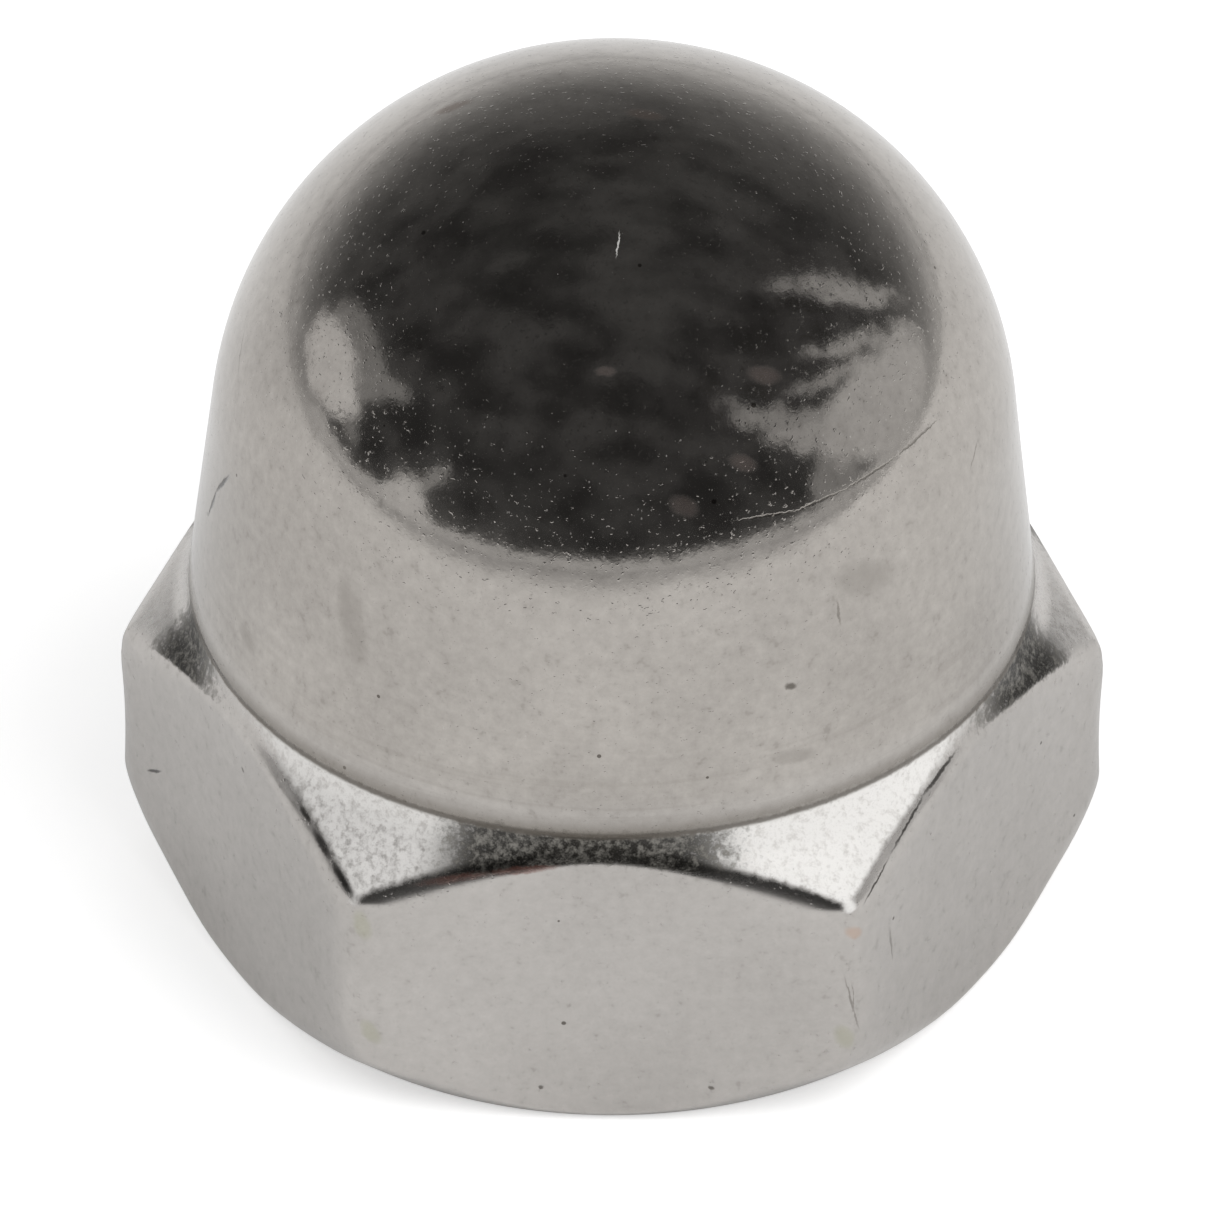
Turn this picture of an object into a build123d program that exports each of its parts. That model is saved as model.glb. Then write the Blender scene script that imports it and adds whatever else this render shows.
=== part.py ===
from build123d import *
import math
import os

# Cap nut, one cold-formed piece of stainless steel, for an M6 screw
# Millimetres, +Z up the thread's axis, origin at the centre of the bearing face

# Hexagon
across_flats = 10.0
hex_height = 3.85            # where the top chamfer runs into the dome's foot
bearing_inset = 0.12         # the ring that the nut sits on ends this far inside the flats
bottom_chamfer_angle = 45.0  # from the bearing face
top_chamfer_angle = 41.0     # from the bearing face
low_corner_loss = 0.0535     # corners short of sharp, just over the bottom chamfer
high_corner_loss = 0.0235    # corners short of sharp, just under the top chamfer
corner_waist = 0.07          # how much further they stay unfilled halfway up
bottom_corner_round = 0.9
top_corner_round = 0.25
flat_edge_round = 0.12       # tumbled edge all round each flat

# Dome
overall_height = 10.6
foot_inset = 0.07            # the dome's foot stands this far inside the flats
foot_round = 0.8             # hollow fillet between the top chamfer and the dome
body_taper = 6.4             # the dome's wall leans in by this angle
shoulder_radius = 4.37
crown_angle = 45.0           # the shoulder gives way to the crown at this slope

# Blind hole, at the thread's minor diameter
thread_minor_diameter = 4.917
mouth_diameter = 6.6
mouth_angle = 120.0
relief_diameter = 6.3
relief_length = 1.6
drill_point_angle = 120.0
crown_wall = 2.0             # metal left over the drill point


def rise(run, angle):
    """Height gained along a slope of this angle over a horizontal run."""
    return run * math.tan(math.radians(angle))


def build_blank():
    """Turned form of the outside: chamfers, waisted corners, foot and dome."""
    bearing_radius = across_flats / 2 - bearing_inset
    foot_radius = across_flats / 2 - foot_inset
    sharp_corner = across_flats / math.sqrt(3)
    low_radius = sharp_corner - low_corner_loss
    high_radius = sharp_corner - high_corner_loss
    taper = math.radians(body_taper)
    crown = math.radians(crown_angle)
    crown_share = math.tan((math.pi / 2 - crown) / 2)

    # The wall ends at the height that lets shoulder and crown reach overall_height
    shoulder_inset = shoulder_radius * (math.cos(taper) - math.cos(crown))
    shoulder_rise = shoulder_radius * (math.sin(crown) - math.sin(taper))
    radius_at_base = foot_radius + hex_height * math.tan(taper)
    dome_rise = shoulder_rise + crown_share * (radius_at_base - shoulder_inset)
    wall_top = (overall_height - dome_rise) / (1 - crown_share * math.tan(taper))

    wall_radius = radius_at_base - wall_top * math.tan(taper)
    crown_start_radius = wall_radius - shoulder_inset
    crown_start_height = wall_top + shoulder_rise
    crown_radius = crown_start_radius / math.cos(crown)
    crown_middle = (crown + math.pi / 2) / 2
    crown_centre = overall_height - crown_radius
    shoulder_middle = (taper + crown) / 2
    shoulder_centre_radius = wall_radius - shoulder_radius * math.cos(taper)
    shoulder_centre_height = wall_top - shoulder_radius * math.sin(taper)

    bearing_edge = (bearing_radius, 0)
    low_corner = (low_radius, rise(low_radius - bearing_radius, bottom_chamfer_angle))
    high_corner = (high_radius, hex_height - rise(high_radius - foot_radius, top_chamfer_angle))
    waist = ((low_corner[0] + high_corner[0]) / 2 - corner_waist, (low_corner[1] + high_corner[1]) / 2)
    foot = (foot_radius, hex_height)
    shoulder_start = (wall_radius, wall_top)
    shoulder_mid = (
        shoulder_centre_radius + shoulder_radius * math.cos(shoulder_middle),
        shoulder_centre_height + shoulder_radius * math.sin(shoulder_middle),
    )
    crown_start = (crown_start_radius, crown_start_height)
    crown_mid = (crown_radius * math.cos(crown_middle), crown_centre + crown_radius * math.sin(crown_middle))
    top = (0, overall_height)

    with BuildPart() as blank:
        with BuildSketch(Plane.XZ) as section:
            with BuildLine():
                Line((0, 0), bearing_edge)
                Line(bearing_edge, low_corner)
                ThreePointArc(low_corner, waist, high_corner)
                Line(high_corner, foot)
                Line(foot, shoulder_start)
                ThreePointArc(shoulder_start, shoulder_mid, crown_start)
                ThreePointArc(crown_start, crown_mid, top)
                Line(top, (0, 0))
            make_face()
            for point, radius in (
                (low_corner, bottom_corner_round),
                (high_corner, top_corner_round),
                (foot, foot_round),
            ):
                corner = section.vertices().sort_by_distance((*point, 0))[0]
                fillet(corner, radius)
        revolve(axis=Axis.Z)
    return blank.part


def build_hole():
    """Blind hole with its countersunk mouth, thread relief and drill point."""
    minor = thread_minor_diameter / 2
    mouth = mouth_diameter / 2
    relief = relief_diameter / 2
    mouth_depth = (mouth - minor) / math.tan(math.radians(mouth_angle / 2))
    point_height = minor / math.tan(math.radians(drill_point_angle / 2))
    bore_end = overall_height - crown_wall - point_height
    relief_start = bore_end - relief_length
    lead = relief - minor

    with BuildPart() as hole:
        with BuildSketch(Plane.XZ):
            with BuildLine():
                Polyline(
                    (0, 0),
                    (mouth, 0),
                    (minor, mouth_depth),
                    (minor, relief_start),
                    (relief, relief_start + lead),
                    (relief, bore_end),
                    (minor, bore_end),
                    (0, bore_end + point_height),
                    close=True,
                )
            make_face()
        revolve(axis=Axis.Z)
    return hole.part


def build_cap_nut():
    """Blank pressed to a hexagon, its flats edged, and drilled from below."""
    with BuildPart() as prism:
        with BuildSketch():
            RegularPolygon(across_flats / 2, 6, major_radius=False)
        extrude(amount=overall_height)
    body = build_blank() & prism.part
    flats = body.faces().filter_by(GeomType.PLANE).filter_by(lambda face: abs(face.normal_at().Z) < 0.5)
    edges = ShapeList(edge for face in flats for edge in face.edges())
    body = fillet(edges, flat_edge_round)
    return body - build_hole()


os.makedirs("parts", exist_ok=True)
cap_nut = build_cap_nut()
export_step(cap_nut, "parts/cap_nut.step")
print("cap_nut", round(cap_nut.volume, 3), "mm3", cap_nut.bounding_box().size)
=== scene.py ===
# Stainless cap nut, M6: the finish, the fine mesh and the studio, built round the CAD frame.
# Shapes are worked out in mm, as on the workshop drawing, and turned into metres at the end.
import math

import bmesh
import bpy
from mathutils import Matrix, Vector, kdtree, noise


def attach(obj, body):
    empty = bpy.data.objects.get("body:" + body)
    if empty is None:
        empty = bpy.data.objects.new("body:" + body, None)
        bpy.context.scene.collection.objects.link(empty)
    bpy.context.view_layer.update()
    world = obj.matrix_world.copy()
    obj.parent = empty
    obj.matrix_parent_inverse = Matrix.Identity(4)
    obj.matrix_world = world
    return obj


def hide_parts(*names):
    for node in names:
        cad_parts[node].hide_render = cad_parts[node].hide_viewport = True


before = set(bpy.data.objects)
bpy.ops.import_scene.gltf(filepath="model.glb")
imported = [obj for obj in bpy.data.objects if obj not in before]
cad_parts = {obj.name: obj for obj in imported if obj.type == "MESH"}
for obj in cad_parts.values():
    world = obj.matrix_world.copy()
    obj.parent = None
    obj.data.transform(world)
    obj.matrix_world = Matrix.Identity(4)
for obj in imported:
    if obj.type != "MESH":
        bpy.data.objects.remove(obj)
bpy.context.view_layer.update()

mm = 0.001                      # one millimetre in Blender's metres

print("stage: camera")
cameraSet = {
    "turn": 1.254,              # degrees to the right of straight on
    "rise": 38.62,              # degrees above the floor
    "distance": 0.2,            # metres to the point looked at
    "lens": 509.6,              # mm, on a 36 mm wide sensor
    "lookHeight": 0.005,        # metres above the floor, on the nut's axis
    "slideRight": 0.0000081,    # metres, frames the nut as the photograph does
    "slideUp": -0.0011727,
}


def directionFrom(turn, rise):
    # unit vector from the nut towards a place in the studio, turn 0 is in front
    a, e = math.radians(turn), math.radians(rise)
    return Vector((math.sin(a) * math.cos(e), -math.cos(a) * math.cos(e), math.sin(e)))


def makeCamera(spec):
    back = directionFrom(spec["turn"], spec["rise"])
    right = Vector((0, 0, 1)).cross(back).normalized()
    up = back.cross(right)
    data = bpy.data.cameras.new("productCamera")
    data.lens = spec["lens"]
    data.sensor_width = 36
    data.clip_start = 0.01
    cam = bpy.data.objects.new("productCamera", data)
    place = Vector((0, 0, spec["lookHeight"])) + back * spec["distance"]
    cam.location = place + right * spec["slideRight"] + up * spec["slideUp"]
    cam.rotation_euler = back.to_track_quat("Z", "Y").to_euler()
    bpy.context.collection.objects.link(cam)
    bpy.context.scene.camera = cam


makeCamera(cameraSet)

print("stage: nut body")
nutBody = {
    "acrossFlats": 10.0,        # mm, all of these
    "hexHeight": 3.85,          # where the top chamfer would meet the dome wall
    "bearingRadius": 4.88,      # flat ring that the nut stands on
    "mouthRadius": 3.3,         # countersink at the bearing face
    "lowCorner": (5.72, 0.84),  # radius, height and rounding of the turned corners
    "lowCornerRound": 0.9,
    "highCorner": (5.75, 3.085),
    "highCornerRound": 0.25,
    "waist": (5.665, 1.95),     # the vertical edges draw in a little at mid height
    "waistRound": 9.0,
    "footRadius": 4.93,
    "footRound": 0.65,
    "neckHeight": 4.15,         # a fine line runs round here, where the dome starts
    "wallTop": (4.617, 6.641),  # the dome wall leans in up to here
    "shoulderRadius": 4.37,
    "shoulderStart": 6.4,       # degrees above level, of the surface's own facing
    "top": 10.6,
    "columns": 420,             # steps round the nut
    "cornerCrowd": 0.6,         # share by which columns gather at the six corners
    "edgeBlend": 0.3,           # softness of the flats' curved edges, near the corners
    "middleBlend": 0.06,        # and at the middle of a flat
    "sideBlend": 0.14,          # softness of the upright edges
    # patches of painted shade on the chamfer, where its metal is also duller, middle and half width in
    # degrees from the front
    "shadePatches": ((-2, 12), (-71, 5), (69, 7), (-120, 9), (120, 9), (180, 13)),
    # how burnished the chamfer is from each turn on, in degrees from the front, and so how bright its painted
    # sheen
    "sheenFrom": ((-180, 0.6), (-140, 0.28), (-69, 0.66), (0, 1.0), (68, 0.3), (140, 0.6)),
    "lean": 0.035,              # the dome sits this far to the right of the axis
}


def along(start, end, spacing):
    # points on a straight stretch, without its last one
    count = max(1, round(math.dist(start, end) / spacing))
    return [Vector(start).lerp(Vector(end), i / count) for i in range(count)]


def roundArc(centre, radius, first, last, spacing):
    # points on an arc between two angles in degrees, both ends included
    count = max(2, round(abs(math.radians(last - first)) * radius / spacing))
    angles = [math.radians(first + (last - first) * i / count) for i in range(count + 1)]
    return [Vector((centre[0] + radius * math.cos(a), centre[1] + radius * math.sin(a))) for a in angles]


def roundedPath(corners):
    # corners are (radius, height, rounding, spacing), the spacing holds up to the next corner
    path = [Vector(corners[0][:2])]
    gap = corners[0][3]
    for before, here, after in zip(corners, corners[1:], corners[2:]):
        point = Vector(here[:2])
        inWay = (Vector(before[:2]) - point).normalized()
        outWay = (Vector(after[:2]) - point).normalized()
        if here[2] == 0:
            path += along(path[-1], point, gap)[1:] + [point]
        else:
            half = inWay.angle(outWay) / 2
            reach = here[2] / math.tan(half)
            centre = point + (inWay + outWay).normalized() * here[2] / math.sin(half)
            a, b = point + inWay * reach - centre, point + outWay * reach - centre
            first = math.degrees(math.atan2(a.y, a.x))
            turn = (math.degrees(math.atan2(b.y, b.x)) - first + 180) % 360 - 180
            bend = roundArc(centre, here[2], first, first + turn, min(gap, here[3]))
            path += along(path[-1], bend[0], gap)[1:] + bend
        gap = here[3]
    path += along(path[-1], corners[-1][:2], gap)[1:] + [Vector(corners[-1][:2])]
    return path


def turnedOutline(spec):
    # half section of the nut before its flats are cut, from the countersink to the crown
    outline = roundedPath([
        (3.127, 0.1, 0, 0.1),
        (spec["mouthRadius"], 0.0, 0.05, 0.3),
        (spec["bearingRadius"], 0.0, 0.06, 0.05),
        (*spec["lowCorner"], spec["lowCornerRound"], 0.18),
        (*spec["waist"], spec["waistRound"], 0.18),
        (*spec["highCorner"], spec["highCornerRound"], 0.036),
        (spec["footRadius"], spec["hexHeight"], spec["footRound"], 0.17),
        (*spec["wallTop"], 0, 0.13),
    ])
    radius, low = spec["shoulderRadius"], spec["shoulderStart"]
    start = math.radians(low)
    centre = Vector(spec["wallTop"]) - radius * Vector((math.cos(start), math.sin(start)))
    # the crown is the arc on the axis that meets the shoulder without a kink
    below = centre.y - spec["top"]
    crownRadius = (radius ** 2 - centre.x ** 2 - below ** 2) / (2 * (below + radius))
    crownCentre = Vector((0, spec["top"] - crownRadius))
    high = math.degrees(math.atan2(centre.y - crownCentre.y, centre.x))
    shoulder = roundArc(centre, radius, low, high, 0.13)
    crown = roundArc(crownCentre, crownRadius, high, 90, 0.13)
    return outline + shoulder[1:] + crown[1:]


def softMin(a, b, blend):
    # the smaller of two sizes, with the corner between them rounded off
    h = min(1, max(0, 0.5 + 0.5 * (b - a) / blend))
    return b + (a - b) * h - blend * h * (1 - h)


def smoothStep(low, high, value):
    # 0 at low, 1 at high, whichever of the two is the larger
    t = min(1, max(0, (value - low) / (high - low)))
    return t * t * (3 - 2 * t)


def cutFlats(bm, spec):
    # the hexagon: every point outside a flat is drawn in to it, edges stay softly rounded
    sheenAndSatin = bm.verts.layers.float.new("sheenAndSatinZone")
    dullAndShade = bm.verts.layers.float.new("dullAndShadeZone")
    polish = bm.verts.layers.float.new("domePolish")
    half = spec["acrossFlats"] / 2
    for v in bm.verts:
        r = math.hypot(v.co.x, v.co.y)
        if r < 1e-6:
            v[polish] = 1
            continue
        a = math.atan2(v.co.y, v.co.x)
        a -= spec["cornerCrowd"] * math.sin(6 * a) / 6
        flatTurn = (math.degrees(a) % 60) - 30          # degrees from the middle of the flat
        flat = half / math.cos(math.radians(flatTurn))
        z = v.co.z
        nearEdge = max(smoothStep(1.3, 0.7, z), smoothStep(2.7, 3.1, z))
        towardsCorner = smoothStep(6, 24, abs(flatTurn))
        curved = spec["middleBlend"] + (spec["edgeBlend"] - spec["middleBlend"]) * towardsCorner
        blend = spec["sideBlend"] + (curved - spec["sideBlend"]) * nearEdge
        neck = spec["neckHeight"]
        onCone = smoothStep(3.0, 3.1, z) * (1 - smoothStep(neck - 0.05, neck + 0.01, z))
        turn = math.degrees(math.atan2(v.co.x, -v.co.y))
        sheenLevel = [level for start, level in spec["sheenFrom"] if turn >= start][-1]
        tipHeight = smoothStep(3.06, 3.12, z) * (1 - smoothStep(3.2, 3.4, z))
        tip = smoothStep(28.4, 29.8, abs(flatTurn)) * tipHeight
        # burnished corners and tips of the chamfer, which carry a painted sheen, laid on more strongly at
        # some turns than at others
        v[sheenAndSatin] = max(onCone * smoothStep(0.03, 0.2, flat - r), 0.75 * tip) * sheenLevel
        # patches of painted shade on the chamfer, where its metal is also duller
        patch = max(smoothStep(wide + 7, wide - 5, abs((turn - middle + 180) % 360 - 180))
                    for middle, wide in spec["shadePatches"])
        v[dullAndShade] = onCone * smoothStep(-0.02, 0.03, flat - r) * patch
        v[polish] = smoothStep(4.1, 4.7, z)
        r = softMin(r, flat, blend)
        v.co = Vector((r * math.cos(a), r * math.sin(a), z))


def weather(bm, spec):
    # a tumbled nut is never quite even: shallow swells, a lean, and small dents
    for v in bm.verts:
        p = v.co.copy()
        lift = smoothStep(4.2, 8.0, p.z)
        outward = Vector((p.x, p.y, max(0, p.z - 5.8))).normalized()
        swell = 0.5 + 0.5 * noise.noise(p * 0.45)
        ripple = 0.5 + 0.5 * noise.noise(p * 1.9 + Vector((7, 3, 1)))
        deep = 0.008 * swell + 0.0022 * ripple
        outside = smoothStep(0.05, 0.5, p.z)
        v.co = p - outward * deep * outside
        v.co.x += spec["lean"] * lift * smoothStep(10.6, 9.5, p.z)


threadCut = {
    "pitch": 1.0,               # mm, M6 coarse
    "minorRadius": 2.4585,
    "majorRadius": 3.0,
    "mouthRadius": 3.3,
    "mouthSlope": 1.732,        # countersink of 120 degrees
    "reliefStart": 5.58,        # the thread runs out here, at 45 degrees
    "reliefRadius": 3.15,
    "reliefEnd": 7.18,
    "drillTip": 8.6,
    "steps": 96,                # to a turn
    "turns": 9,
    "low": 0.15,                # the mesh of the thread is trimmed between these heights
    "high": 6.2,
}


def cutThread(bm, spec):
    # one pitch of the thread's outline goes round and up, then the ends are opened out
    inner, outer, pitch = spec["minorRadius"], spec["majorRadius"], spec["pitch"]
    flank = (outer - inner) * math.tan(math.radians(30))
    halfWay = (inner + outer) / 2
    outline = [(inner, 0), (inner, pitch / 8), (inner, pitch / 4), (halfWay, pitch / 4 + flank / 2),
               (outer, pitch / 4 + flank), (outer, pitch - flank), (halfWay, pitch - flank / 2),
               (inner, pitch)]
    verts = [bm.verts.new((r, 0, z - 1.5 * pitch)) for r, z in outline]
    edges = [bm.edges.new(pair) for pair in zip(verts, verts[1:])]
    bmesh.ops.spin(bm, geom=verts + edges, cent=(0, 0, 0), axis=(0, 0, 1),
                   dvec=(0, 0, pitch / spec["steps"]), angle=math.tau * spec["turns"],
                   steps=spec["steps"] * spec["turns"], use_merge=False)
    bmesh.ops.remove_doubles(bm, verts=bm.verts, dist=0.002)
    for v in bm.verts:
        r = math.hypot(v.co.x, v.co.y)
        mouth = spec["mouthRadius"] - spec["mouthSlope"] * v.co.z
        relief = inner + v.co.z - spec["reliefStart"]
        wide = max(r, min(mouth, 4), min(relief, 4))
        v.co.x *= wide / r
        v.co.y *= wide / r
    for height, side in ((spec["low"], 1), (spec["high"], -1)):
        bmesh.ops.bisect_plane(bm, geom=bm.verts[:] + bm.edges[:] + bm.faces[:], dist=1e-5,
                               plane_co=(0, 0, height), plane_no=(0, 0, side), clear_inner=True)
    bmesh.ops.remove_doubles(bm, verts=bm.verts, dist=0.004)


def spinOutline(bm, outline, steps):
    verts = [bm.verts.new((p[0], 0, p[1])) for p in outline]
    edges = [bm.edges.new(pair) for pair in zip(verts, verts[1:])]
    bmesh.ops.spin(bm, geom=verts + edges, cent=(0, 0, 0), axis=(0, 0, 1), angle=math.tau,
                   steps=steps, use_merge=True)
    bmesh.ops.remove_doubles(bm, verts=bm.verts, dist=0.001)


def openLoop(bm, height):
    # the open edges that lie at one height
    return [e for e in bm.edges if e.is_boundary and all(abs(v.co.z - height) < 0.01 for v in e.verts)]


def joinMesh(target, source):
    # adds one bmesh to another by way of a mesh
    mesh = bpy.data.meshes.new("scrap")
    source.to_mesh(mesh)
    source.free()
    target.from_mesh(mesh)
    bpy.data.meshes.remove(mesh)


def linear(code):
    # sRGB hex to the linear colour that the shaders take
    parts = [int(code[i:i + 2], 16) / 255 for i in (1, 3, 5)]
    return tuple(c / 12.92 if c < 0.04045 else ((c + 0.055) / 1.055) ** 2.4 for c in parts) + (1.0,)


# what happened to this one nut, and a few strokes of painted shade and glint: colour, strength, how much it
# dulls the metal, depth in mm, and its strokes as two ends and a half width in mm
nutMarks = [
    # dark hairline at the left, and a dent beside it
    ("#2A2724", 0.9, 0, 0.012, [
        ((-4.36, -1.51, 6.61), (-4.52, -1.19, 6.15), 0.034),
        ((-4.52, -1.19, 6.15), (-4.61, -1.01, 5.66), 0.03),
        ((-5.38, -0.68, 1.59), (-5.23, -0.95, 1.81), 0.022),
    ]),
    # painted shade along the edges of the flats beside the two front corners
    ("#2F2C29", 0.85, 0, 0, [
        ((-2.93, -4.84, 3.21), (-3.14, -4.5, 3.36), 0.042),
        ((-3.19, -4.42, 3.39), (-3.36, -4.11, 3.52), 0.05),
        ((-3.4, -4.0, 3.56), (-3.5, -3.82, 3.63), 0.03),
        ((3.02, -4.76, 3.12), (3.3, -4.29, 3.38), 0.014),
        ((3.33, -4.22, 3.41), (3.66, -3.55, 3.71), 0.016),
        ((3.66, -3.55, 3.71), (4.0, -2.96, 3.88), 0.022),
    ]),
    # long curved line at the right
    ("#6B665F", 0.6, 0, 0.004, [
        ((1.52, -3.93, 8.0), (2.14, -3.66, 7.93), 0.016),
        ((2.14, -3.66, 7.93), (2.7, -3.28, 7.95), 0.016),
        ((2.7, -3.28, 7.95), (3.25, -2.72, 7.98), 0.016),
        ((3.25, -2.72, 7.98), (3.68, -2.08, 7.99), 0.016),
    ]),
    # nick on the crown, painted near white: partly a real nick, partly a painted glint
    ("#EDEBE8", 0.9, 0.6, 0, [
        ((0.13, -1.65, 10.3), (0.09, -1.95, 10.18), 0.012),
    ]),
    # short fine scratches
    ("#77726B", 0.6, 0, 0, [
        ((2.77, -4.95, 2.15), (2.95, -4.86, 1.32), 0.016),
        ((2.86, -4.92, 2.05), (2.9, -4.9, 1.55), 0.012),
        ((3.28, -4.33, 2.38), (3.31, -4.26, 1.88), 0.018),
        ((4.17, -1.59, 7.37), (4.09, -1.9, 7.18), 0.015),
        ((-4.2, -0.52, 7.98), (-4.27, -0.94, 7.66), 0.015),
        ((2.62, -3.78, 6.73), (2.66, -3.79, 6.42), 0.018),
    ]),
    # small pits
    ("#4E4841", 0.75, 0, 0, [
        ((2.09, -4.21, 5.84), (2.14, -4.19, 5.82), 0.05),
        ((-4.18, -2.75, 3.32), (-4.17, -2.76, 3.31), 0.03),
        ((1.24, -5.0, 0.54), (1.26, -5.0, 0.53), 0.03),
        ((-0.71, -5.0, 0.51), (-0.7, -5.0, 0.5), 0.025),
    ]),
    # grey smudges
    ("#8C8781", 0.4, 0, 0, [
        ((-4.16, -2.4, 5.03), (-4.04, -2.54, 4.99), 0.12),
        ((2.75, -3.62, 6.95), (3.1, -3.4, 6.8), 0.22),
        ((2.0, -4.37, 4.91), (2.35, -4.25, 4.85), 0.1),
        ((-2.95, -3.6, 6.6), (-2.85, -3.78, 5.9), 0.2),
    ]),
    # rust coloured spots on the dome
    ("#8A6A62", 0.35, 0.3, 0, [
        ((1.68, -2.87, 9.25), (1.86, -2.83, 9.19), 0.11),
        ((1.48, -3.6, 8.58), (1.6, -3.56, 8.5), 0.1),
        ((0.84, -4.0, 8.27), (0.94, -3.98, 8.2), 0.12),
        ((-0.06, -3.11, 9.44), (0.06, -3.11, 9.44), 0.06),
    ]),
    # brown smears at the top
    ("#6B5548", 0.5, 0.2, 0, [
        ((0.25, 0.22, 10.58), (0.5, 0.18, 10.58), 0.1),
        ((-1.96, 0.84, 10.12), (-1.7, 0.86, 10.18), 0.1),
    ]),
    # red film by the chamfer
    ("#84584E", 0.6, 0.2, 0, [
        ((-2.15, -4.99, 3.42), (-1.3, -5.0, 3.64), 0.05),
        ((-1.3, -5.0, 3.64), (-0.55, -5.0, 3.77), 0.045),
    ]),
    # yellow film at the upright edges
    ("#A8A88E", 0.4, 0.2, 0, [
        ((-2.78, -4.99, 2.95), (-2.72, -4.99, 2.75), 0.1),
        ((-2.7, -4.99, 1.35), (-2.62, -4.99, 1.2), 0.1),
        ((2.74, -4.96, 1.36), (2.82, -4.95, 1.2), 0.11),
    ]),
    # pink film beside it
    ("#C09A80", 0.4, 0.2, 0, [
        ((2.84, -4.95, 2.84), (2.92, -4.9, 2.76), 0.08),
    ]),
]

markSet = {
    "fineBelow": 0.052,         # mm half width, finer strokes are kept apart from broad ones
    "depthReach": 0.25,         # mm below and above its stroke that a mark still colours the surface
    "margin": 0.15,             # mm round a stroke in which the faces know of it
    "sway": 0.07,               # mm by which a mark's edge wanders, from one side to the other
}


def paintMarks(bm, marks, spec):
    # every face learns where it lies in the axes of its nearest stroke, in stroke sizes, so
    # that the material needs to look at one fine and one broad stroke only
    finder = kdtree.KDTree(len(bm.faces))
    middles = [f.calc_center_median() for f in bm.faces]
    for number, middle in enumerate(middles):
        finder.insert(middle, number)
    finder.balance()
    bm.faces.ensure_lookup_table()
    for name in ("fine", "broad"):
        spotLayer = bm.loops.layers.float_vector.new(name + "Spot")
        makeLayer = bm.loops.layers.float_vector.new(name + "Make")
        toneLayer = bm.loops.layers.float_color.new(name + "Tone")
        for f in bm.faces:
            for corner in f.loops:
                corner[toneLayer] = (0, 0, 0, 0)
        nearest = {}
        for tone, strength, film, depth, strokes in marks:
            for start, end, halfWidth in strokes:
                if (halfWidth < spec["fineBelow"]) != (name == "fine"):
                    continue
                a, b = Vector(start), Vector(end)
                middle = (a + b) / 2
                halfLength = (b - a).length / 2 + halfWidth
                lengthways = (b - a).normalized()
                outward = Vector((middle.x, middle.y, max(0.0, middle.z - 5.8)))
                across = outward.cross(lengthways).normalized()
                axes = (lengthways / halfLength, across / halfWidth,
                        lengthways.cross(across) / spec["depthReach"])
                reach = halfLength + halfWidth + 2 * spec["margin"]
                for _, number, _ in finder.find_range(middle, reach):
                    local = [axis.dot(middles[number] - middle) for axis in axes]
                    clear = max((abs(local[0]) - 1) * halfLength, (abs(local[1]) - 1.25) * halfWidth)
                    if clear < min(spec["margin"], nearest.get(number, 9.0)) and abs(local[2]) < 1.6:
                        nearest[number] = clear
                        for corner in bm.faces[number].loops:
                            corner[spotLayer] = [axis.dot(corner.vert.co - middle) for axis in axes]
                            corner[makeLayer] = (1 / halfWidth, film, -depth)
                            corner[toneLayer] = (*linear(tone)[:3], strength)
        print("marks,", name + ":", len(nearest), "faces")



def buildNut(spec, thread, marks):
    bm = bmesh.new()
    spinOutline(bm, turnedOutline(spec), spec["columns"])
    cutFlats(bm, spec)
    weather(bm, spec)
    hole = bmesh.new()
    cutThread(hole, thread)
    joinMesh(bm, hole)
    back = bmesh.new()
    start = thread["high"] + 0.03
    bore, wide = thread["minorRadius"], thread["reliefRadius"]
    spinOutline(back, [(bore + start - thread["reliefStart"], start),
                       (wide, thread["reliefStart"] + wide - bore),
                       (wide, thread["reliefEnd"]),
                       (bore, thread["reliefEnd"]),
                       (0, thread["drillTip"])], thread["steps"])
    joinMesh(bm, back)
    for low, high in ((0.1, thread["low"]), (thread["high"], start)):
        bmesh.ops.bridge_loops(bm, edges=openLoop(bm, low) + openLoop(bm, high))
    bmesh.ops.dissolve_degenerate(bm, dist=1e-5, edges=bm.edges)
    bmesh.ops.recalc_face_normals(bm, faces=bm.faces)
    openEdges = sum(not e.is_manifold for e in bm.edges)
    print("nut mesh:", len(bm.verts), "points,", sum(len(f.verts) - 2 for f in bm.faces),
          "triangles, open or doubled edges:", openEdges, ", volume mm3:", round(bm.calc_volume(), 2))
    for f in bm.faces:
        f.smooth = True
        f.material_index = int(all(math.hypot(v.co.x, v.co.y) < 3.27 and v.co.z < 8.7 for v in f.verts))
    paintMarks(bm, marks, markSet)
    bmesh.ops.scale(bm, vec=(mm, mm, mm), verts=bm.verts)
    mesh = bpy.data.meshes.new("cap_nut_body")
    bm.to_mesh(mesh)
    bm.free()
    mesh.set_sharp_from_angle(angle=math.radians(40))
    piece = bpy.data.objects.new("cap_nut_body", mesh)
    bpy.context.collection.objects.link(piece)
    return piece


nut = buildNut(nutBody, threadCut, nutMarks)
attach(nut, "root")
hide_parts("cap_nut")

print("stage: materials")


def addNode(tree, kind, settings=None, links=None):
    # one node with its settings, each input linked to a socket or a node's first output, or
    # given a value
    node = tree.nodes.new(kind)
    for name, value in (settings or {}).items():
        setattr(node, name, value)
    for name, value in (links or {}).items():
        if isinstance(value, bpy.types.Node):
            value = next(output for output in value.outputs if output.enabled)
        if isinstance(value, bpy.types.NodeSocket):
            tree.links.new(value, node.inputs[name])
        else:
            node.inputs[name].default_value = value
    return node


def newMaterial(name):
    material = bpy.data.materials.new(name)
    material.use_nodes = True
    material.node_tree.nodes.clear()
    return material, material.node_tree


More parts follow.
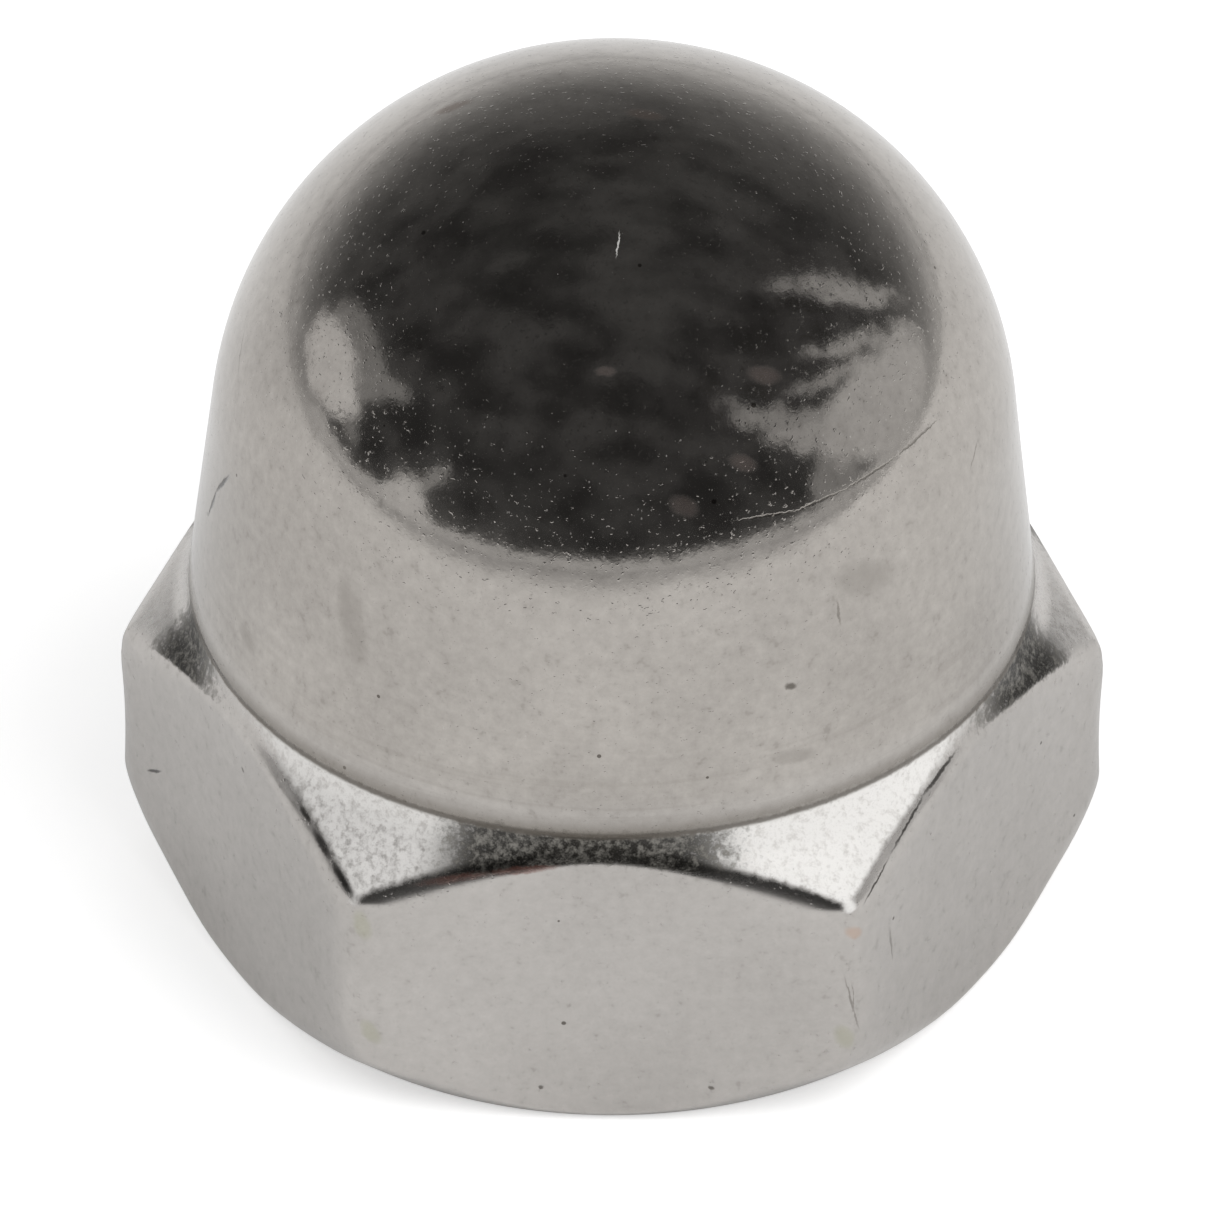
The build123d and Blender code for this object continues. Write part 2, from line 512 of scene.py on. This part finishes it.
stainlessLook = {
    "flatPale": "#C8C4C0",      # the hexagon's metal, and the greyer clouds in it
    "flatGrey": "#B2AEAA",
    "domePale": "#C0BBB5",      # the dome is a touch darker
    "domeGrey": "#9F9A95",
    "sheenTone": "#F0EEEB",     # burnished corners of the chamfer, bright and matt: a painted sheen
    "sheenSpeck": "#D6D3CF",
    "shadeDark": "#33312E",    # painted shade between dome and flat
    "shadePale": "#84817B",
    "fleckTone": "#7C766E",
    "pitTone": "#4E4841",
    "glintNickTone": "#D2D0CC",
    "flatRoughness": 0.24,
    "domeRoughness": 0.1,
    "satinRoughness": 0.5,
    "recessRoughness": 0.45,
    "satinMetal": 0.12,         # share of the burnished corners that still mirrors
}

# settings that many nodes share
add = {"operation": "ADD"}
subtract = {"operation": "SUBTRACT"}
multiply = {"operation": "MULTIPLY"}
multiplyAdd = {"operation": "MULTIPLY_ADD"}
lessThan = {"operation": "LESS_THAN"}
smaller = {"operation": "MINIMUM"}
larger = {"operation": "MAXIMUM"}
dot = {"operation": "DOT_PRODUCT"}
smooth = {"interpolation_type": "SMOOTHSTEP"}
tint = {"data_type": "RGBA"}


def makeStainless(spec, markSpec):
    # Austenitic stainless steel, cold formed and tumbled in stone: a warm grey metal that
    # mirrors softly, with orange peel, short nicks and tiny pits from the stones.
    material, tree = newMaterial("tumbledStainless")
    coords = addNode(tree, "ShaderNodeTexCoord")
    place = addNode(tree, "ShaderNodeVectorMath", {"operation": "SCALE"},
                    {0: coords.outputs["Object"], "Scale": 1 / mm})
    up = addNode(tree, "ShaderNodeSeparateXYZ", links={0: place}).outputs["Z"]
    polish = addNode(tree, "ShaderNodeAttribute", {"attribute_name": "domePolish"}).outputs["Fac"]

    # clouds some 3 mm across, and a mottle of about 0.3 mm
    cloud = addNode(tree, "ShaderNodeTexNoise", links={0: place, "Scale": 0.4, "Detail": 2})
    mottle = addNode(tree, "ShaderNodeTexNoise",
                    links={0: place, "Scale": 6, "Detail": 4, "Roughness": 0.7})
    greyness = addNode(tree, "ShaderNodeMath", multiplyAdd, {0: cloud, 1: 1.1, 2: -0.65})
    greyness = addNode(tree, "ShaderNodeMath", {"operation": "MULTIPLY_ADD", "use_clamp": True},
                       {0: mottle, 1: 1.2, 2: greyness})
    pale = addNode(tree, "ShaderNodeMix", tint,
                   {0: polish, 6: linear(spec["flatPale"]), 7: linear(spec["domePale"])})
    grey = addNode(tree, "ShaderNodeMix", tint,
                   {0: polish, 6: linear(spec["flatGrey"]), 7: linear(spec["domeGrey"])})
    colour = addNode(tree, "ShaderNodeMix", tint, {0: greyness, 6: pale, 7: grey})

    # faint lines from the lathe, strongest just above the chamfer
    lathe = addNode(tree, "ShaderNodeVectorMath", multiply, {0: place, 1: (0.25, 0.25, 9)})
    lathe = addNode(tree, "ShaderNodeTexNoise", links={0: lathe, "Scale": 1, "Detail": 2, "Roughness": 0.6})
    lathe = addNode(tree, "ShaderNodeMapRange", smooth, {0: lathe, 1: 0.48, 2: 0.72, 4: 0.14})
    fromChamfer = addNode(tree, "ShaderNodeMapRange", smooth, {0: up, 1: 4.05, 2: 4.2})
    upWall = addNode(tree, "ShaderNodeMapRange", smooth, {0: up, 1: 6.0, 2: 4.6, 3: 0.15, 4: 1.0})
    lathe = addNode(tree, "ShaderNodeMath", multiply, {0: lathe, 1: fromChamfer})
    lathe = addNode(tree, "ShaderNodeMath", multiply, {0: lathe, 1: upWall})
    colour = addNode(tree, "ShaderNodeMix", tint, {0: lathe, 6: colour, 7: linear(spec["fleckTone"])})

    # flecks of 0.1 mm, faint, and pits of 0.02 to 0.05 mm in some cells only
    fleck = addNode(tree, "ShaderNodeTexNoise",
                    links={0: place, "Scale": 6, "Detail": 2, "Roughness": 0.65})
    fleck = addNode(tree, "ShaderNodeMapRange", smooth, {0: fleck, 1: 0.63, 2: 0.75, 4: 0.2})
    colour = addNode(tree, "ShaderNodeMix", tint, {0: fleck, 6: colour, 7: linear(spec["fleckTone"])})
    cells = addNode(tree, "ShaderNodeTexVoronoi", links={0: place, "Scale": 2.4})
    share = addNode(tree, "ShaderNodeSeparateColor", links={0: cells.outputs["Color"]}).outputs["Red"]
    pitSize = addNode(tree, "ShaderNodeMapRange", smooth, {0: share, 1: 0.55, 2: 1.0, 4: 0.07})
    pit = addNode(tree, "ShaderNodeMath", lessThan, {0: cells.outputs["Distance"], 1: pitSize})
    pit = addNode(tree, "ShaderNodeMath", multiply, {0: pit, 1: 0.8})
    colour = addNode(tree, "ShaderNodeMix", tint, {0: pit, 6: colour, 7: linear(spec["pitTone"])})

    # burnished corners of the chamfer with their painted sheen, and the dull recess with its painted shade,
    # with a pebbled border
    pebble = addNode(tree, "ShaderNodeTexNoise",
                    links={0: place, "Scale": 10, "Detail": 3, "Roughness": 0.75})
    pebbleHalf = addNode(tree, "ShaderNodeMath", subtract, {0: pebble, 1: 0.5})
    sheenAndSatin = addNode(tree, "ShaderNodeAttribute", {"attribute_name": "sheenAndSatinZone"}).outputs["Fac"]
    sheenAndSatin = addNode(tree, "ShaderNodeMath", multiplyAdd, {0: pebbleHalf, 1: 0.7, 2: sheenAndSatin})
    sheenAndSatin = addNode(tree, "ShaderNodeMapRange", smooth, {0: sheenAndSatin, 1: 0.1, 2: 0.9})
    dullAndShade = addNode(tree, "ShaderNodeAttribute", {"attribute_name": "dullAndShadeZone"}).outputs["Fac"]
    dullAndShade = addNode(tree, "ShaderNodeMath", multiplyAdd, {0: pebbleHalf, 1: 1.6, 2: dullAndShade})
    dullAndShade = addNode(tree, "ShaderNodeMapRange", smooth, {0: dullAndShade, 1: 0.1, 2: 0.85})
    smoothness = addNode(tree, "ShaderNodeMapRange", smooth, {0: pebble, 1: 0.28, 2: 0.55})
    sheenTone = addNode(tree, "ShaderNodeMix", tint,
                        {0: smoothness, 6: linear(spec["sheenSpeck"]), 7: linear(spec["sheenTone"])})
    colour = addNode(tree, "ShaderNodeMix", tint, {0: sheenAndSatin, 6: colour, 7: sheenTone})
    smoothness = addNode(tree, "ShaderNodeMapRange", smooth, {0: pebble, 1: 0.38, 2: 0.72})
    shadeTone = addNode(tree, "ShaderNodeMix", tint,
                         {0: smoothness, 6: linear(spec["shadeDark"]), 7: linear(spec["shadePale"])})
    colour = addNode(tree, "ShaderNodeMix", tint, {0: dullAndShade, 6: colour, 7: shadeTone})

    # the fine groove at the foot of the dome, with painted shade in it, and painted shade above it
    neck = addNode(tree, "ShaderNodeMath", multiplyAdd, {0: pebbleHalf, 1: 0.06, 2: up})
    offLine = addNode(tree, "ShaderNodeMath", subtract, {0: neck, 1: 4.15})
    offLine = addNode(tree, "ShaderNodeMath", {"operation": "ABSOLUTE"}, {0: offLine})
    neckGrooveShade = addNode(tree, "ShaderNodeMapRange", smooth, {0: offLine, 1: 0.05, 2: 0.01})
    shade = addNode(tree, "ShaderNodeMapRange", smooth, {0: neck, 1: 4.45, 2: 4.16, 4: 0.75})
    shadeFoot = addNode(tree, "ShaderNodeMapRange", smooth, {0: neck, 1: 4.08, 2: 4.14})
    shade = addNode(tree, "ShaderNodeMath", multiply, {0: shade, 1: shadeFoot})
    colour = addNode(tree, "ShaderNodeMix", tint, {0: shade, 6: colour, 7: linear(spec["fleckTone"])})
    line = addNode(tree, "ShaderNodeMath", multiply, {0: neckGrooveShade, 1: 0.55})
    colour = addNode(tree, "ShaderNodeMix", tint, {0: line, 6: colour, 7: linear(spec["pitTone"])})

    # nicks of 0.02 mm on the dome, thickest in a belt round its shoulder, painted pale and matt as glints
    nickPlace = addNode(tree, "ShaderNodeVectorMath", multiply, {0: place, 1: (15, 15, 8)})
    nickCells = addNode(tree, "ShaderNodeTexVoronoi", links={0: nickPlace, "Scale": 1})
    share = addNode(tree, "ShaderNodeSeparateColor", links={0: nickCells.outputs["Color"]}).outputs["Green"]
    beltLow = addNode(tree, "ShaderNodeMapRange", smooth, {0: up, 1: 7.4, 2: 8.1})
    beltHigh = addNode(tree, "ShaderNodeMapRange", smooth, {0: up, 1: 9.4, 2: 8.5})
    belt = addNode(tree, "ShaderNodeMath", multiply, {0: beltLow, 1: beltHigh})
    rarity = addNode(tree, "ShaderNodeMath", multiplyAdd, {0: mottle, 1: 0.7, 2: 0.08})
    rarity = addNode(tree, "ShaderNodeMath", multiplyAdd, {0: cloud, 1: 0.9, 2: rarity})
    rarity = addNode(tree, "ShaderNodeMath", multiplyAdd, {0: belt, 1: -0.52, 2: rarity})
    nickSize = addNode(tree, "ShaderNodeMath", subtract, {0: share, 1: rarity})
    nickSize = addNode(tree, "ShaderNodeMath", multiply, {0: nickSize, 1: 0.45})
    nickSize = addNode(tree, "ShaderNodeMath", smaller, {0: nickSize, 1: 0.14})
    glintNick = addNode(tree, "ShaderNodeMath", lessThan, {0: nickCells.outputs["Distance"], 1: nickSize})
    glintNick = addNode(tree, "ShaderNodeMath", multiply, {0: glintNick, 1: polish})
    glintNick = addNode(tree, "ShaderNodeMath", multiply, {0: glintNick, 1: share})
    glintNick = addNode(tree, "ShaderNodeMath", multiply, {0: glintNick, 1: 0.3})
    colour = addNode(tree, "ShaderNodeMix", tint, {0: glintNick, 6: colour, 7: linear(spec["glintNickTone"])})

    # heights in mm: orange peel, grain, specks, the neck line and pebbles
    peel = addNode(tree, "ShaderNodeTexNoise", links={0: place, "Scale": 2.2, "Detail": 1})
    grain = addNode(tree, "ShaderNodeTexNoise",
                    links={0: place, "Scale": 17, "Detail": 2, "Roughness": 0.6})
    speck = addNode(tree, "ShaderNodeMapRange", smooth, {0: grain, 1: 0.64, 2: 0.76})
    height = addNode(tree, "ShaderNodeMath", multiply, {0: peel, 1: 0.003})
    height = addNode(tree, "ShaderNodeMath", multiplyAdd, {0: grain, 1: 0.0006, 2: height})
    height = addNode(tree, "ShaderNodeMath", multiplyAdd, {0: speck, 1: 0.0026, 2: height})
    height = addNode(tree, "ShaderNodeMath", multiplyAdd, {0: neckGrooveShade, 1: -0.006, 2: height})
    rugged = addNode(tree, "ShaderNodeMath", multiply, {0: sheenAndSatin, 1: 0.006})
    rugged = addNode(tree, "ShaderNodeMath", multiplyAdd, {0: dullAndShade, 1: 0.014, 2: rugged})
    height = addNode(tree, "ShaderNodeMath", multiplyAdd, {0: pebbleHalf, 1: rugged, 2: height})

    # the marks that paintMarks laid on the mesh, broad ones under fine ones
    sway = addNode(tree, "ShaderNodeMath", multiply, {0: pebbleHalf, 1: markSpec["sway"]})
    dull = 0.0
    for name in ("broad", "fine"):
        spot = addNode(tree, "ShaderNodeAttribute", {"attribute_name": name + "Spot"}).outputs["Vector"]
        made = addNode(tree, "ShaderNodeAttribute", {"attribute_name": name + "Make"}).outputs["Vector"]
        made = addNode(tree, "ShaderNodeSeparateXYZ", links={0: made}).outputs
        tone = addNode(tree, "ShaderNodeAttribute", {"attribute_name": name + "Tone"}).outputs
        aside = addNode(tree, "ShaderNodeMath", multiply, {0: sway, 1: made["X"]})
        aside = addNode(tree, "ShaderNodeCombineXYZ", links={1: aside})
        spot = addNode(tree, "ShaderNodeVectorMath", add, {0: spot, 1: aside})
        away = addNode(tree, "ShaderNodeVectorMath", dot, {0: spot, 1: spot})
        mask = addNode(tree, "ShaderNodeMapRange", smooth, {0: away, 1: 1.5, 2: 0.15, 4: tone["Alpha"]})
        colour = addNode(tree, "ShaderNodeMix", tint, {0: mask, 6: colour, 7: tone["Color"]})
        dull = addNode(tree, "ShaderNodeMath", multiplyAdd, {0: mask, 1: made["Y"], 2: dull})
        if name == "fine":
            height = addNode(tree, "ShaderNodeMath", multiplyAdd, {0: mask, 1: made["Z"], 2: height})

    bump = addNode(tree, "ShaderNodeBump", links={"Height": height, "Distance": mm, "Strength": 1.0})
    rough = addNode(tree, "ShaderNodeMapRange", smooth,
                    {0: polish, 3: spec["flatRoughness"], 4: spec["domeRoughness"]})
    change = addNode(tree, "ShaderNodeMath", subtract, {0: spec["satinRoughness"], 1: rough})
    rough = addNode(tree, "ShaderNodeMath", multiplyAdd, {0: change, 1: sheenAndSatin, 2: rough})
    change = addNode(tree, "ShaderNodeMath", subtract, {0: spec["recessRoughness"], 1: rough})
    rough = addNode(tree, "ShaderNodeMath", multiplyAdd, {0: change, 1: dullAndShade, 2: rough})
    matt = addNode(tree, "ShaderNodeMath", multiply, {0: sheenAndSatin, 1: 1 - spec["satinMetal"]})
    matt = addNode(tree, "ShaderNodeMath", larger, {0: matt, 1: glintNick})
    matt = addNode(tree, "ShaderNodeMath", larger, {0: matt, 1: dull})
    metal = addNode(tree, "ShaderNodeMath", subtract, {0: 1.0, 1: matt})
    shader = addNode(tree, "ShaderNodeBsdfPrincipled", links={
        "Base Color": colour, "Metallic": metal, "Roughness": rough, "Normal": bump})
    addNode(tree, "ShaderNodeOutputMaterial", links={"Surface": shader})
    return material



threadLook = {
    "metalTone": "#B4B2AD",
    "roughness": 0.3,
    "toolMark": 14,             # tool rings to the mm, coarser than real so that they show
}


def makeThreadFinish(spec):
    # The same steel, drilled and tapped: brighter cut metal with fine rings from the tool.
    material, tree = newMaterial("tappedStainless")
    coords = addNode(tree, "ShaderNodeTexCoord")
    inMm = addNode(tree, "ShaderNodeVectorMath", {"operation": "SCALE"},
                   {0: coords.outputs["Object"], "Scale": 1 / mm})
    rings = addNode(tree, "ShaderNodeTexWave", {"bands_direction": "Z"},
                    {"Vector": inMm, "Scale": spec["toolMark"] / 6.3, "Distortion": 2.0,
                     "Detail": 2})
    bump = addNode(tree, "ShaderNodeBump", links={"Height": rings.outputs["Fac"], "Distance": 0.002 * mm})
    shader = addNode(tree, "ShaderNodeBsdfPrincipled", links={
        "Base Color": linear(spec["metalTone"]), "Metallic": 1.0, "Roughness": spec["roughness"],
        "Normal": bump})
    addNode(tree, "ShaderNodeOutputMaterial", links={"Surface": shader})
    return material


nut.data.materials.append(makeStainless(stainlessLook, markSet))
nut.data.materials.append(makeThreadFinish(threadLook))

print("stage: studio")
studio = {
    "floorTone": "#E6E6E6",
    "floorSize": 4.0,           # metres
    "floorWhite": 0.46,         # light of the floor's own, for the camera
    "floorLift": 0.12,          # and in reflections
    "farTone": "#B4B4B4",       # the floor in front, where the lamps hardly reach
    "lampReach": (0.03, 0.13),  # metres in front of the nut between which it darkens
    "roomLevel": 0.5,           # even light on everything
    "keyLevel": 0.57,           # soft lamp at the right front
    "fillLevel": 0.25,
    "darkLevel": 0.033,         # the unlit room that the dome mirrors, with its paler parts
    "duskLevel": 0.085,
    "paperLevel": 0.9,          # and the lit paper
    "paperEdge": 3.4,           # degrees above level where the paper ends in front
    "raggedness": 4.0,          # degrees by which the paper's edges wander
    "sweepFade": 14.0,          # degrees over which the sweep behind fades to a third
    # pale cards that the dome mirrors: turn, rise, half width, half height, tilt, all in
    # degrees, and how lit they are
    "cards": [
        (-99, 11.5, 16, 8, 8, 0.92), (-96, 19, 18, 8, 10, 0.28),
        (-80, 24, 10, 3, 20, 0.3), (-59, 4, 8, 8, 0, 0.78),
        (-54, 13, 9, 2.5, 55, 0.35), (-83, 9, 6, 3, -20, 0.3),
        (90, 12, 27, 11, -14, 0.72), (72, 16, 24, 4, -33, 0.6),
        (60, 30, 19, 3, -28, 0.45), (52, 38, 14, 1.2, -30, 0.3),
        (84, 27, 20, 1.6, -25, 0.55), (95, 27, 19, 1.3, -38, 0.6),
        (66, 6, 8, 9, 0, 0.35), (112, 26, 18, 2.4, -60, 0.55),
        (109, 40, 15, 2.0, -62, 0.45), (104, 50, 4, 1.5, -40, 0.3),
    ],
}


def makeFloor(spec):
    bm = bmesh.new()
    bmesh.ops.create_grid(bm, x_segments=1, y_segments=1, size=spec["floorSize"] / 2)
    mesh = bpy.data.meshes.new("paperFloor")
    bm.to_mesh(mesh)
    bm.free()
    floor = bpy.data.objects.new("paperFloor", mesh)
    bpy.context.collection.objects.link(floor)
    # matt white paper, with a little light of its own so that it reads as white
    material, tree = newMaterial("whitePaper")
    spot = addNode(tree, "ShaderNodeSeparateXYZ",
                   links={"Vector": addNode(tree, "ShaderNodeTexCoord").outputs["Object"]})
    far = addNode(tree, "ShaderNodeMapRange", smooth,
                  {"Value": spot.outputs["Y"], "From Min": -spec["lampReach"][0],
                   "From Max": -spec["lampReach"][1]})
    tone = addNode(tree, "ShaderNodeMix", tint,
                   {"Factor": far, 6: linear(spec["floorTone"]), 7: linear(spec["farTone"])})
    paper = addNode(tree, "ShaderNodeBsdfDiffuse", links={"Color": tone.outputs[2]})
    path = addNode(tree, "ShaderNodeLightPath")
    seen = addNode(tree, "ShaderNodeMath", larger,
                   {0: path.outputs["Is Glossy Ray"], 1: path.outputs["Is Transmission Ray"]})
    lift = addNode(tree, "ShaderNodeMath", multiply, {0: seen, 1: spec["floorLift"]})
    lift = addNode(tree, "ShaderNodeMath", multiplyAdd,
                   {0: path.outputs["Is Camera Ray"], 1: spec["floorWhite"], 2: lift})
    glow = addNode(tree, "ShaderNodeEmission", links={"Strength": lift})
    both = addNode(tree, "ShaderNodeAddShader", links={0: paper, 1: glow})
    addNode(tree, "ShaderNodeOutputMaterial", links={"Surface": both})
    mesh.materials.append(material)


def makeSurroundings(spec):
    # white to the camera, even light on matt things, and for mirrors a dark room with a lit
    # sweep of paper behind the nut and pale cards at its sides
    world = bpy.data.worlds.new("studioRoom")
    world.cycles.sampling_method = "NONE"
    world.use_nodes = True
    tree = world.node_tree
    tree.nodes.clear()
    way = addNode(tree, "ShaderNodeTexCoord").outputs["Generated"]
    axes = addNode(tree, "ShaderNodeSeparateXYZ", links={"Vector": way})
    front = addNode(tree, "ShaderNodeMath", multiply, {0: axes.outputs["Y"], 1: -1.0})
    turn = addNode(tree, "ShaderNodeMath", {"operation": "ARCTAN2"}, {0: axes.outputs["X"], 1: front})
    turn = addNode(tree, "ShaderNodeMath", {"operation": "DEGREES"}, {0: turn})
    rise = addNode(tree, "ShaderNodeMath", {"operation": "ARCSINE"}, {0: axes.outputs["Z"]})
    rise = addNode(tree, "ShaderNodeMath", {"operation": "DEGREES"}, {0: rise})
    ragged = addNode(tree, "ShaderNodeTexNoise",
                     links={"Vector": way, "Scale": 13, "Detail": 4, "Roughness": 0.7})
    wander = addNode(tree, "ShaderNodeMath", subtract, {0: ragged, 1: 0.5})
    shift = addNode(tree, "ShaderNodeCombineXYZ", links={"X": wander, "Y": wander})
    spot = addNode(tree, "ShaderNodeCombineXYZ", links={"X": turn, "Y": rise, "Z": 1.0})
    spot = addNode(tree, "ShaderNodeVectorMath", multiplyAdd,
                   {0: shift, 1: (4 * spec["raggedness"], 2 * spec["raggedness"], 0.0),
                    2: spot})
    spotAxes = addNode(tree, "ShaderNodeSeparateXYZ", links={"Vector": spot})
    # paper in front: lit up to a few degrees above level
    paper = addNode(tree, "ShaderNodeMapRange", smooth,
                    {"Value": spotAxes.outputs["Y"], "From Min": spec["paperEdge"] - 0.8,
                     "From Max": spec["paperEdge"] + 0.8, "To Min": 0.7, "To Max": 0.0})
    # sweep behind: fades as it rises, most slowly straight behind
    behind = addNode(tree, "ShaderNodeMath", larger, {0: axes.outputs["Y"], 1: 0.12})
    reach = addNode(tree, "ShaderNodeMath", multiply, {0: behind, 1: -spec["sweepFade"]})
    risen = addNode(tree, "ShaderNodeMath", larger, {0: rise, 1: 0.0})
    fade = addNode(tree, "ShaderNodeMath", {"operation": "DIVIDE"}, {0: risen, 1: reach})
    fade = addNode(tree, "ShaderNodeMath", {"operation": "EXPONENT"}, {0: fade})
    # the sweep is dimmer at the sides, and the cut paper stands in front only
    sideways = addNode(tree, "ShaderNodeMapRange", smooth,
                       {"Value": axes.outputs["Y"], "To Min": 0.55, "To Max": 0.85})
    fade = addNode(tree, "ShaderNodeMath", multiply,
                   {0: fade, 1: sideways})
    frontOnly = addNode(tree, "ShaderNodeMapRange", smooth,
                        {"Value": axes.outputs["Y"], "From Min": 0.05, "From Max": 0.45, "To Min": 1.0,
                         "To Max": 0.0})
    paper = addNode(tree, "ShaderNodeMath", multiply, {0: paper, 1: frontOnly})
    lit = addNode(tree, "ShaderNodeMath", larger, {0: paper, 1: fade})
    for cardTurn, cardRise, halfWide, halfHigh, tilt, level in spec["cards"]:
        lean = math.radians(tilt)
        acrossCard = Vector((math.cos(lean), math.sin(lean))) / halfWide
        upCard = Vector((-math.sin(lean), math.cos(lean))) / halfHigh
        middle = Vector((cardTurn, cardRise))
        wide = addNode(tree, "ShaderNodeVectorMath", dot,
                       {0: spot, 1: (*acrossCard, -acrossCard.dot(middle))})
        high = addNode(tree, "ShaderNodeVectorMath", dot,
                       {0: spot, 1: (*upCard, -upCard.dot(middle))})
        away = addNode(tree, "ShaderNodeMath", multiply,
                       {0: wide, 1: wide})
        away = addNode(tree, "ShaderNodeMath", multiplyAdd,
                       {0: high, 1: high, 2: away})
        card = addNode(tree, "ShaderNodeMapRange", smooth,
                       {"Value": away, "From Min": 0.64, "From Max": 1.21,
                        "To Min": level, "To Max": 0.0})
        lit = addNode(tree, "ShaderNodeMath", larger, {0: lit, 1: card})
    slanted = addNode(tree, "ShaderNodeMapping",
                      links={"Vector": way, "Rotation": (0.5, math.radians(35), 0), "Scale": (1.6, 2.6, 2.2)})
    gloom = addNode(tree, "ShaderNodeTexNoise", links={"Vector": slanted, "Scale": 2.0,
                                                       "Detail": 2, "Roughness": 0.6})
    gloom = addNode(tree, "ShaderNodeMapRange", smooth,
                    {"Value": gloom, "From Min": 0.35, "From Max": 0.65,
                     "To Min": spec["darkLevel"], "To Max": spec["duskLevel"]})
    mirrored = addNode(tree, "ShaderNodeMapRange", links={"Value": lit, "To Min": gloom,
                                                          "To Max": spec["paperLevel"]})
    path = addNode(tree, "ShaderNodeLightPath")
    mirror = addNode(tree, "ShaderNodeMath", larger,
                     {0: path.outputs["Is Glossy Ray"], 1: path.outputs["Is Transmission Ray"]})
    room = addNode(tree, "ShaderNodeBackground", links={"Strength": spec["roomLevel"]})
    reflected = addNode(tree, "ShaderNodeBackground", links={"Strength": mirrored})
    white = addNode(tree, "ShaderNodeBackground", links={"Strength": 1.0})
    for background in (room, reflected, white):
        background.inputs["Color"].default_value = (1, 1, 1, 1)
    unseen = addNode(tree, "ShaderNodeMixShader", links={0: mirror, 1: room,
                                                         2: reflected})
    whole = addNode(tree, "ShaderNodeMixShader", links={0: path.outputs["Is Camera Ray"], 1: unseen,
                                                        2: white})
    addNode(tree, "ShaderNodeOutputWorld", links={"Surface": whole})
    bpy.context.scene.world = world


def makeLamp(name, turn, rise, distance, size, level):
    # a soft square lamp, matt light only: the room's picture is what the metal mirrors
    data = bpy.data.lights.new(name, "AREA")
    data.size = size
    data.energy = level * math.pi ** 2 * distance ** 2
    lamp = bpy.data.objects.new(name, data)
    way = directionFrom(turn, rise)
    lamp.location = way * distance
    lamp.rotation_euler = way.to_track_quat("Z", "Y").to_euler()
    lamp.visible_glossy = False
    bpy.context.collection.objects.link(lamp)


makeFloor(studio)
makeSurroundings(studio)
makeLamp("keyLamp", 58, 50, 0.4, 0.3, studio["keyLevel"])
makeLamp("fillLamp", -65, 50, 0.4, 0.3, studio["fillLevel"])
bpy.context.scene.view_settings.view_transform = "Standard"

print("stage: done")
